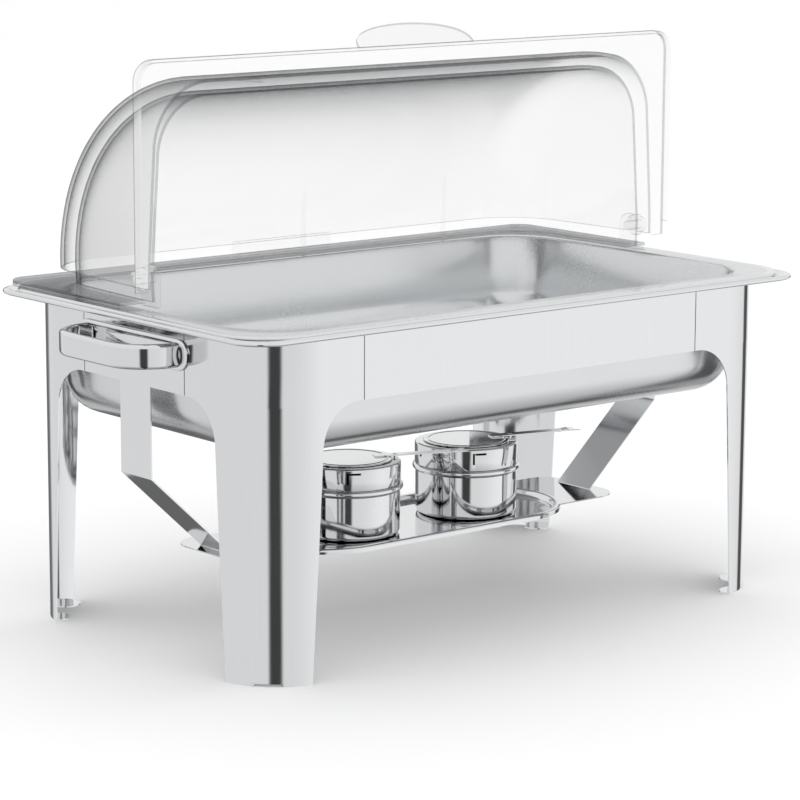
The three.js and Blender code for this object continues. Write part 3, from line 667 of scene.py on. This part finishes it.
def shell_grid(radius, side, corner, cut_s, cut_h, columns=64):
    """Rows of points over a quarter drum, from one end wall round to the other."""
    spokes = []
    for k in range(columns + 1):
        a = math.pi / 2 * k / columns
        ds, dh = math.sin(a), math.cos(a)
        along = cut_s * ds + cut_h * dh
        off = cut_s ** 2 + cut_h ** 2

        def to_radius(r, along=along, off=off):
            return -along + math.sqrt(max(along ** 2 - off + r ** 2, 0))

        knee = to_radius(radius - corner)
        reach = [knee * i / 10 for i in range(11)]
        reach += [to_radius(radius - corner + corner * math.sin(math.pi / 2 * i / 14)) for i in range(1, 15)]
        half = []
        for rho in reach:
            s = cut_s + rho * ds
            h = cut_h + rho * dh
            half.append((dome_side(radius, side, corner, math.hypot(s, h)), s, h))
        width = half[-1][0]
        s, h = half[-1][1:]
        middle = [(width * (1 - 2 * i / 12), s, h) for i in range(1, 12)]
        spokes.append(half + middle + [(-x, s2, h2) for x, s2, h2 in reversed(half)])
    return spokes


def add_shell(mesh, place, radius, side, corner, cut_s, cut_h):
    outside = shell_grid(radius, side, corner, cut_s, cut_h)
    inside = shell_grid(radius - DOME_SHEET, side - DOME_SHEET, corner - DOME_SHEET, cut_s, cut_h)
    skins = [
        [[mesh.verts.new(Vector(place(*p)) * MM) for p in spoke] for spoke in grid]
        for grid in (outside, inside)
    ]
    for grid in skins:
        for a, b in zip(grid, grid[1:]):
            for i in range(len(a) - 1):
                mesh.faces.new((a[i], a[i + 1], b[i + 1], b[i]))
    for k in (0, -1):
        for i in range(len(outside[0]) - 1):
            a, b = skins[0][k], skins[1][k]
            mesh.faces.new((a[i], a[i + 1], b[i + 1], b[i])).material_index = 1


def opening_line(radius, side, corner, h, start, count):
    """The shell's outline at a level h, from one side at s = start round to the other."""
    far = math.sqrt(radius ** 2 - h ** 2)
    knee = math.sqrt(max((radius - corner) ** 2 - h ** 2, 0))
    half = []
    for i in range(count + 1):
        s = start + (knee - start) * i / count
        half.append((dome_side(radius, side, corner, math.hypot(s, h)), s))
    for i in range(1, count + 1):
        s = knee + (far - knee) * math.sin(math.pi / 2 * i / count)
        half.append((dome_side(radius, side, corner, math.hypot(s, h)), s))
    width = half[-1][0]
    middle = [(width * (1 - 2 * i / count), far) for i in range(1, count)]
    return half + middle + [(-x, s) for x, s in reversed(half)]


def outer_line(half_x, far, corner, start, count):
    half = [(half_x, start + (far - corner - start) * i / count) for i in range(count + 1)]
    half += arc(half_x - corner, far - corner, corner, 0, 90, count)[1:]
    width = half[-1][0]
    middle = [(width * (1 - 2 * i / count), far) for i in range(1, count)]
    return half + middle + [(-x, s) for x, s in reversed(half)]


def add_flange(mesh, place, line, start, skirt_start, top, thick):
    """The flat ledge round a shell's opening, and the skirt that hangs from its edge."""
    count = 16
    inner = line(start, count)
    outer = outer_line(DOME_HALF_X, DOME_HALF_Y, DOME_CORNER, start, count)
    eased = outer_line(DOME_HALF_X - 0.8, DOME_HALF_Y - 0.8, DOME_CORNER - 0.8, start, count)
    rings = []
    for (ix, i_s), (ox, o_s), (ex, e_s) in zip(inner, outer, eased):
        rings.append([place(ix, i_s, top), place(ex, e_s, top), place(ox, o_s, top - 0.8),
                      place(ox, o_s, top - thick), place(ix, i_s, top - thick)])
    sides = len(rings[0])
    for i, face in enumerate(add_loft(mesh, rings)[:-2]):
        face.material_index = 1 if i % sides in (1, 2) else 0
    outer = outer_line(DOME_HALF_X, DOME_HALF_Y, DOME_CORNER, skirt_start, count)
    within = outer_line(DOME_HALF_X - DOME_SKIRT, DOME_HALF_Y - DOME_SKIRT, DOME_CORNER - DOME_SKIRT,
                        skirt_start, count)
    rings = []
    for (ox, o_s), (wx, w_s) in zip(outer, within):
        rings.append([place(ox, o_s, top - thick), place(ox, o_s, BOTTOM), place(wx, w_s, BOTTOM),
                      place(wx, w_s, top - thick)])
    add_loft(mesh, rings)


def add_block(mesh, place, xs, ss, hs):
    outline = [(xs[0], ss[0]), (xs[1], ss[0]), (xs[1], ss[1]), (xs[0], ss[1])]
    add_loft(mesh, [[place(x, s, h) for x, s in outline] for h in hs])


def add_side_disc(mesh, place, radius, x0, x1, foot=None):
    """A round boss on an end wall, or with a foot a lug: a round top on straight sides."""
    if foot is None:
        loop = arc(0, 0, radius, 0, 360, 40)[:-1]
    else:
        loop = arc(0, 0, radius, 0, 180, 24) + [(-radius, foot), (radius, foot)]
    ease = 0.6
    scale = (radius - ease) / radius
    rings = [
        [place(x0, s * scale, h * scale) for s, h in loop],
        [place(x0 + math.copysign(ease, x1 - x0), s, h) for s, h in loop],
        [place(x1 - math.copysign(ease, x1 - x0), s, h) for s, h in loop],
        [place(x1, s * scale, h * scale) for s, h in loop],
    ]
    add_loft(mesh, rings)


def make_dome_base():
    mesh = bmesh.new()
    add_shell(mesh, standing, SHELL_RADIUS, SHELL_SIDE, SHELL_CORNER, -LAP, BASE_TOP)

    def line(start, count):
        return opening_line(SHELL_RADIUS - DOME_SHEET, SHELL_SIDE - DOME_SHEET, SHELL_CORNER - DOME_SHEET,
                            BASE_TOP, start, count)

    add_flange(mesh, standing, line, 5, 5, BASE_TOP - 0.02, DOME_SKIRT)
    for sx in (-1, 1):
        add_side_disc(mesh, standing, LUG_RADIUS, sx * (SHELL_SIDE - LUG_THICKNESS),
                      sx * (SHELL_SIDE - DOME_SHEET), foot=BOTTOM)
    tab_s = DOME_HALF_Y - 5
    add_block(mesh, standing, (-49, 49), (tab_s, tab_s + 2.4), (BASE_TOP, BASE_TOP + 10))
    wall = SHELL_RADIUS - DOME_SHEET
    for x in (-SHELL_SIDE + 95.5, 0, SHELL_SIDE - 95.5):
        outline = [(wall - 0.3, BOTTOM + 2), (wall - 5, BOTTOM + 2), (wall - 4, 10), (wall - 4.2, 34)]
        rings = [[standing(x + dx, s, h) for s, h in outline] for dx in (-1.5, 1.5)]
        add_loft(mesh, rings)
    finish_piece("dome_base", mesh, [CLEAR, CLEAR_EDGE], "dome", ["dome_base"], sharp=35)


def make_cover():
    mesh = bmesh.new()
    under = COVER_TOP - 2
    corner = SHELL_CORNER + 4.1
    add_shell(mesh, rolled_back, COVER_RADIUS, COVER_SIDE, corner, -LAP, COVER_TOP)

    def line(start, count):
        return opening_line(COVER_RADIUS, COVER_SIDE, corner, COVER_TOP, start, count)

    add_flange(mesh, rolled_back, line, -7.5, 4, COVER_TOP, 2)
    for sx in (-1, 1):
        add_side_disc(mesh, rolled_back, 8.5, sx * (SHELL_SIDE + 0.6), sx * (COVER_SIDE - DOME_SHEET))
    rings = []
    width, reach, tilt, thick = 56, 22, math.radians(48), 2.0
    for i in range(33):
        turn = math.pi * i / 32
        x = width * math.cos(turn)
        deep = reach * math.sin(turn) ** 0.8 if 0 < i < 32 else 0
        s = DOME_HALF_Y - 1.2 + deep * math.cos(tilt)
        h = COVER_TOP - 0.2 + deep * math.sin(tilt)
        back = (thick * math.sin(tilt), -thick * math.cos(tilt))
        s0 = DOME_HALF_Y - 1.2
        h0 = COVER_TOP - 0.2
        rings.append([rolled_back(x, s0, h0), rolled_back(x, s, h), rolled_back(x, s + back[0], h + back[1]),
                      rolled_back(x, s0 + back[0], h0 + back[1])])
    for i, face in enumerate(add_loft(mesh, rings)[:-2]):
        face.material_index = 1 if i % 4 == 1 else 0
    wall = math.sqrt(COVER_RADIUS ** 2 - COVER_TOP ** 2)
    for x in (-SHELL_SIDE + 95.5, SHELL_SIDE - 95.5):
        outline = [(wall - 5, under), (wall - 1, under), (wall - 2.4, 20), (wall - 6, 18)]
        add_loft(mesh, [[rolled_back(x + dx, s, h) for s, h in outline] for dx in (-1.5, 1.5)])
    finish_piece("roll_cover", mesh, [CLEAR, CLEAR_EDGE], "cover", ["roll_cover"], sharp=35)


def make_pin(side, sx):
    low, high = corners(f"pivot_pin_{side}")
    near = min(abs(low.x), abs(high.x))
    far = max(abs(low.x), abs(high.x))
    mesh = bmesh.new()
    steps = [(near, 0.02), (near, PIN_RADIUS - 0.5), (near + 0.5, PIN_RADIUS), (far - 2, PIN_RADIUS)]
    steps += [(far - 2, 6), (far - 0.6, 6), (far, 5), (far, 0.02)]
    rings = [[(x, r * math.cos(a), PIVOT + r * math.sin(a)) for a in [math.pi * k / 20 for k in range(40)]]
             for x, r in steps]
    add_loft(mesh, rings)
    name = f"pivot_pin_{side}"
    finish_piece(name, mesh, [CLEAR], "dome", [name], matrix=mirror(sx, 1))


make_dome_base()
make_cover()
for side, sx in SIDES:
    make_pin(side, sx)


# ---------- burners ----------
CUP_RADIUS = 40
CUP_HEIGHT = 37
CUP_BEAD = 2.4
COLLAR_RING = 8
BURNER_TURN = {"left": -27, "right": -20}


def cut_away(piece, cutter):
    """Cuts one shape out of another for good, then drops the cutter."""
    knife = piece.modifiers.new("cut", "BOOLEAN")
    knife.operation = "DIFFERENCE"
    knife.solver = "EXACT"
    knife.object = cutter
    bpy.context.view_layer.update()
    cut = bpy.data.meshes.new_from_object(piece.evaluated_get(bpy.context.evaluated_depsgraph_get()))
    piece.modifiers.remove(knife)
    piece.data = cut
    bpy.data.objects.remove(cutter)
    cut.shade_smooth()
    cut.set_sharp_from_angle(angle=math.radians(35))


def make_burner(side):
    low, high = corners(f"fuel_cup_{side}")
    centre = (low + high) / 2
    z = low.z
    place = (centre.x, centre.y, z)
    s = 1.0
    r = CUP_RADIUS
    mesh = bmesh.new()
    profile = [(0.02, 0.6), (r - 9, 0.6), (r - 7, 0), *arc(r - 4, 4, 4, -90, 0, 8)]
    profile += [(r, CUP_HEIGHT - CUP_BEAD - 0.6), *arc(r, CUP_HEIGHT, CUP_BEAD, -80, 90, 12)]
    profile += [(r - s, CUP_HEIGHT + CUP_BEAD), (r - s, 5), (r - 5, 1 + s), (0.02, 1 + s)]
    add_lathe(mesh, profile, 96, place)
    finish_piece(f"fuel_cup_{side}", mesh, [POLISHED], f"burner_{side}",
                 [f"fuel_cup_{side}"])

    low, high = corners(f"burner_collar_{side}")
    height = high.z - low.z
    c = r + 0.6
    top = height
    mesh = bmesh.new()
    profile = [(c - s, 0), (c - 0.2, 0), (c, 0.3), *arc(c - 1.6, top - 1.6, 1.6, 0, 90, 6)]
    profile += [(c - COLLAR_RING + 0.4, top), (c - COLLAR_RING, top - 0.4), (c - COLLAR_RING, top - s)]
    profile += [(c - 2.6, top - s), (c - s - 0.2, top - 2.4)]
    add_lathe(mesh, profile, 96, (centre.x, centre.y, low.z))
    collar = finish_piece(f"burner_collar_{side}", mesh, [POLISHED], f"collar_{side}",
                          [f"burner_collar_{side}"])
    cuts = bmesh.new()
    for angle, width, from_top, to_top in ((-102, 1.6, 3.0, 12), (-94, 9, 3, 4.6)):
        loop = [(c - 4, -width / 2), (c + 4, -width / 2), (c + 4, width / 2), (c - 4, width / 2)]
        a = math.radians(angle + BURNER_TURN[side])
        turned = [(centre.x + x * math.cos(a) - y * math.sin(a), centre.y + x * math.sin(a) + y * math.cos(a))
                  for x, y in loop]
        add_prism(cuts, turned, low.z + top - to_top, low.z + top - from_top)
    a = math.radians(-172 + BURNER_TURN[side])
    across = Vector((math.cos(a), math.sin(a), 0))
    beside = Vector((-math.sin(a), math.cos(a), 0))
    rings = []
    for reach in (c - 4, c + 4):
        ring = []
        for k in range(20):
            t = 2 * math.pi * k / 20
            p = Vector((centre.x, centre.y, low.z + top - 8.3)) + across * reach + beside * 1.7 * math.cos(t)
            ring.append((p.x, p.y, p.z + 1.7 * math.sin(t)))
        rings.append(ring)
    add_loft(cuts, rings)
    bmesh.ops.recalc_face_normals(cuts, faces=cuts.faces)
    data = bpy.data.meshes.new("slots")
    cuts.to_mesh(data)
    cuts.free()
    cutter = bpy.data.objects.new("slots", data)
    bpy.context.scene.collection.objects.link(cutter)
    cut_away(collar, cutter)

    low, high = corners(f"damper_{side}")
    pivot = c - 3.6
    disc = c - COLLAR_RING + 1.4
    tip = pivot + 58
    h = 4.5
    mesh = bmesh.new()
    profile = [(0.02, 0), (disc - 0.4, 0), (disc, 0.3), (disc, 0.7), (disc - 0.4, 1), (disc - 3, 1)]
    profile += [(disc - 3.6, 1.35), (disc - 4.2, 1.35), (disc - 4.8, 1), (0.02, 1)]
    add_lathe(mesh, profile, 96, (0, 0, 0))
    strip = [(disc - 14, -h), (tip - 12, -h), (tip, -h - 2), (tip - 5, 0), (tip - 2, h + 1), (tip - 14, h),
             (disc - 14, h)]
    rings = [[(x, y, 1.05 + dz + 1.6 * max(0, (x - pivot - 6) / 50)) for x, y in strip] for dz in (0, 0.9)]
    add_loft(mesh, rings)
    rise = [(tip - 19, 2.4), (tip - 9, 4.2), (tip - 8.6, 3.6), (tip - 17.5, 1.6)]
    add_loft(mesh, [[(x, y, z2) for x, z2 in rise] for y in (1 - h, h - 1)])
    turn = Matrix.Translation((centre.x * MM, centre.y * MM, low.z * MM)) @ Matrix.Rotation(
        math.radians(BURNER_TURN[side]), 4, "Z")
    finish_piece(f"damper_{side}", mesh, [POLISHED], f"damper_{side}", [f"damper_{side}"],
                 matrix=turn, bevel=0.12)

    low, high = corners(f"damper_rivet_{side}")
    middle = (low + high) / 2
    tall = high.z - low.z
    mesh = bmesh.new()
    profile = [(0.02, 0), (2, 0), (2, 1), (1.5, 1), (1.5, tall - 1.2), (3, tall - 1.2), (2.8, tall - 0.6),
               (2, tall - 0.1), (0.02, tall)]
    add_lathe(mesh, profile, 32, (middle.x, middle.y, low.z))
    finish_piece(f"damper_rivet_{side}", mesh, [POLISHED], f"collar_{side}",
                 [f"damper_rivet_{side}"])


for side, sx in SIDES:
    make_burner(side)


# ---------- studio ----------
# What the steel sees of the room: white walls, brighter on the key side at the front right, and three black
# cards whose reflections are the dark bands in the bent sheet. Only reflections see them and the key side.
# Directions are compass angles in degrees, counter-clockwise from the object's right.
WALL = 0.87
KEY_SIDE = 315
KEY_GAIN = 0.20
KEY_SPREAD = 4           # power of the cosine: higher is narrower
CARDS = (                # direction, half width, soft edge, how much light comes off it
    {"toward": 11, "half": 7, "edge": 4, "shade": 0.1},
    {"toward": 72, "half": 12, "edge": 10, "shade": 0.2},
    {"toward": 230, "half": 7, "edge": 5, "shade": 0.07},
)


def multiply(tree, first, second):
    return add_node(tree, "ShaderNodeMath", {"operation": "MULTIPLY"}, {0: first, 1: second}).outputs["Value"]


def add_toward(tree, level_way, degrees):
    """Cosine of the angle between a level direction and a compass angle."""
    a = math.radians(degrees)
    along = add_node(tree, "ShaderNodeVectorMath", {"operation": "DOT_PRODUCT"}, {0: level_way})
    along.inputs[1].default_value = (math.cos(a), math.sin(a), 0)
    return along.outputs["Value"]


def add_room(tree, place):
    """Brightness of the room in the direction of a place: the walls, the key side, then each card's shade."""
    flat = add_node(tree, "ShaderNodeVectorMath", {"operation": "MULTIPLY"}, {0: place})
    flat.inputs[1].default_value = (1, 1, 0)
    way = add_node(tree, "ShaderNodeVectorMath", {"operation": "NORMALIZE"}, {0: flat.outputs["Vector"]})
    way = way.outputs["Vector"]
    facing = add_node(tree, "ShaderNodeMath", {"operation": "MAXIMUM"}, {0: add_toward(tree, way, KEY_SIDE)})
    facing.inputs[1].default_value = 0
    key = add_node(tree, "ShaderNodeMath", {"operation": "POWER"}, {0: facing.outputs["Value"]})
    key.inputs[1].default_value = KEY_SPREAD
    light = add_node(tree, "ShaderNodeMath", {"operation": "MULTIPLY_ADD"}, {0: key.outputs["Value"]})
    light.inputs[1].default_value = KEY_GAIN
    light.inputs[2].default_value = WALL
    level = light.outputs["Value"]
    for card in CARDS:
        outer = math.cos(math.radians(card["half"] + card["edge"]))
        inner = math.cos(math.radians(card["half"]))
        shade = add_node(tree, "ShaderNodeMapRange", links={"Value": add_toward(tree, way, card["toward"])},
                         From_Min=outer, From_Max=inner, To_Min=1.0, To_Max=card["shade"])
        level = multiply(tree, level, shade.outputs["Result"])
    return level


def add_plane(name, size, height):
    mesh = bmesh.new()
    bmesh.ops.create_grid(mesh, x_segments=1, y_segments=1, size=size)
    data = bpy.data.meshes.new(name)
    mesh.to_mesh(data)
    mesh.free()
    plane = bpy.data.objects.new(name, data)
    plane.location.z = height
    bpy.context.scene.collection.objects.link(plane)
    return plane


def make_floor():
    """White paper sweep."""
    floor = add_plane("floor", 14, 0)
    material, tree = new_material("pale_floor")
    shader = add_node(tree, "ShaderNodeBsdfPrincipled", Roughness=0.6)
    shader.inputs["Base Color"].default_value = linear("#fafafa")
    shader.inputs["Specular IOR Level"].default_value = 0.1
    add_node(tree, "ShaderNodeOutputMaterial", links={"Surface": shader.outputs["BSDF"]})
    floor.data.materials.append(material)
    floor.visible_glossy = False


def make_world():
    world = bpy.data.worlds.new("studio")
    bpy.context.scene.world = world
    world.use_nodes = True
    tree = world.node_tree
    tree.nodes.clear()
    place = add_node(tree, "ShaderNodeTexCoord").outputs["Generated"]
    split = add_node(tree, "ShaderNodeSeparateXYZ", links={"Vector": place})
    under = add_node(tree, "ShaderNodeMapRange", links={"Value": split.outputs["Z"]},
                     From_Min=-0.9, From_Max=-0.45, To_Min=0.42, To_Max=1.0)
    over = add_node(tree, "ShaderNodeMapRange", links={"Value": split.outputs["Z"]},
                    From_Min=0.05, From_Max=0.17, To_Min=0.0, To_Max=1.0)
    walls = add_node(tree, "ShaderNodeMath", {"operation": "MULTIPLY"},
                     {0: add_room(tree, place), 1: under.outputs["Result"]})
    ceiling = add_node(tree, "ShaderNodeMix", {"data_type": "FLOAT"},
                       {0: over.outputs["Result"], 2: walls.outputs["Value"]})
    ceiling.inputs[3].default_value = 0.95
    room = add_node(tree, "ShaderNodeBackground", links={"Strength": ceiling.outputs[0]})
    white = add_node(tree, "ShaderNodeBackground", Strength=1.06)
    for node in (room, white):
        node.inputs["Color"].default_value = linear("#ffffff")
    ray = add_node(tree, "ShaderNodeLightPath")
    glossy = add_node(tree, "ShaderNodeMath", {"operation": "SUBTRACT", "use_clamp": True},
                      {0: ray.outputs["Is Glossy Ray"], 1: ray.outputs["Is Transmission Ray"]})
    mix = add_node(tree, "ShaderNodeMixShader", links={
        0: glossy.outputs["Value"],
        1: white.outputs["Background"],
        2: room.outputs["Background"],
    })
    add_node(tree, "ShaderNodeOutputWorld", links={"Surface": mix.outputs["Shader"]})


def make_softbox(name, place, aim, size, power):
    lamp = bpy.data.lights.new(name, "AREA")
    lamp.shape = "RECTANGLE"
    lamp.size, lamp.size_y = size
    lamp.energy = power
    light = bpy.data.objects.new(name, lamp)
    light.location = place
    light.rotation_euler = (Vector(aim) - Vector(place)).to_track_quat("-Z", "Y").to_euler()
    light.visible_camera = False
    light.visible_transmission = False
    light.visible_glossy = False
    bpy.context.scene.collection.objects.link(light)


make_floor()
make_world()
make_softbox("top_softbox", (0.1, -0.1, 1.9), (0, 0, 0.2), (2.0, 1.6), 4)

bpy.context.scene.view_settings.view_transform = "Standard"
